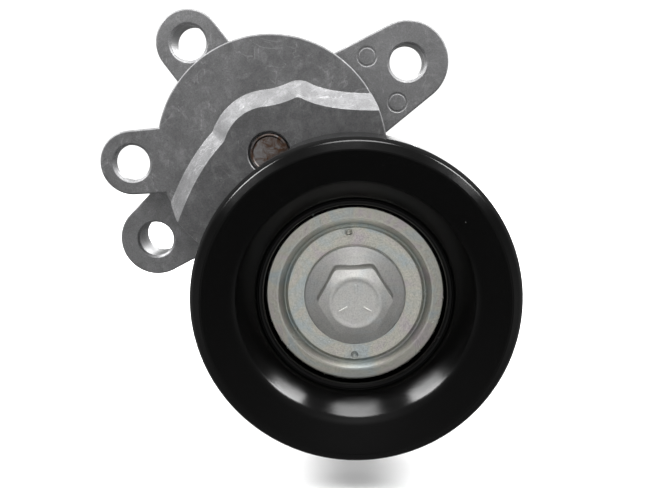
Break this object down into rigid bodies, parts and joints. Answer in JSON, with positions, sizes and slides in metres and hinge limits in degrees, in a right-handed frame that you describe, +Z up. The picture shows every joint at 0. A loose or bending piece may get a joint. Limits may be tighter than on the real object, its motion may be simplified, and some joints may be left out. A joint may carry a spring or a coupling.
{
  "type": "belt tensioner idler",
  "caption": "Spring-loaded belt tensioner: smooth black steel idler pulley on a cast arm that swings on a cast base with bolt ears.",
  "frame": {"origin": "on the arm's pivot axis, in the plane of the ears' rear faces, where the tensioner meets the engine", "axes": "+Z up in the picture, +Y along the pivot and pulley axes from the pulley towards the engine, +X to the right seen from the pulley side"},
  "size_m": [0.0969, 0.0621, 0.0989],
  "materials": {
    "cast_aluminium_base": "die-cast aluminium, fine grain, matt grey skin",
    "cast_aluminium_arm": "die-cast aluminium, matt grey skin with flow marks and a brighter sloped step",
    "black_painted_steel": "gloss black dip paint on spun steel",
    "zinc_plated_steel": "bright zinc plate with a faint yellow passivate",
    "bolt_zinc": "zinc-plated forged bolt",
    "bearing_steel": "ground bearing steel",
    "shaft_steel": "turned steel, oily brown tint",
    "spring_steel": "oil-tempered spring steel",
    "seal_rubber": "matt black nitrile rubber",
    "bushing_polymer": "dark filled polymer",
    "cage_nylon": "natural glass-filled nylon"
  },
  "bodies": {
    "base": {"base_bracket": "cast_aluminium_base", "pivot_bushing": "bushing_polymer", "rim_seal": "seal_rubber", "spring_seat": "bushing_polymer"},
    "arm": {"tension_arm": "cast_aluminium_arm", "pivot_shaft": "shaft_steel", "rear_washer": "zinc_plated_steel", "retaining_ring": "spring_steel", "torsion_spring": "spring_steel", "damper_shoe": "bushing_polymer", "damper_spring": "spring_steel", "pulley_bolt": "bolt_zinc", "dust_cover": "zinc_plated_steel", "rear_slinger": "zinc_plated_steel", "bearing_inner_ring": "bearing_steel"},
    "pulley": {"pulley_rim": "black_painted_steel", "pulley_web": "black_painted_steel", "pulley_hub": "black_painted_steel", "bearing_outer_ring": "bearing_steel", "front_seal": "seal_rubber", "rear_seal": "seal_rubber"},
    "cage": {"ball_cage": "cage_nylon", "ball_1": "bearing_steel", "ball_2": "bearing_steel", "ball_3": "bearing_steel", "ball_4": "bearing_steel", "ball_5": "bearing_steel", "ball_6": "bearing_steel", "ball_7": "bearing_steel", "ball_8": "bearing_steel"}
  },
  "joints": [
    {"name": "arm_pivot", "type": "hinge", "parent": "base", "child": "arm", "pos_m": [0, 0, 0], "axis": [0, 1, 0], "range_deg": [0, 28], "stiffness_Nm_per_rad": 14, "springref_deg": -34.38},
    {"name": "pulley_spin", "type": "hinge", "parent": "arm", "child": "pulley", "pos_m": [0.02013, 0, -0.02985], "axis": [0, 1, 0], "continuous": true},
    {"name": "cage_spin", "type": "hinge", "parent": "arm", "child": "cage", "pos_m": [0.02013, 0, -0.02985], "axis": [0, 1, 0], "continuous": true}
  ],
  "couplings": [
    {"joint": "cage_spin", "follows": "pulley_spin", "ratio": 0.618}
  ]
}
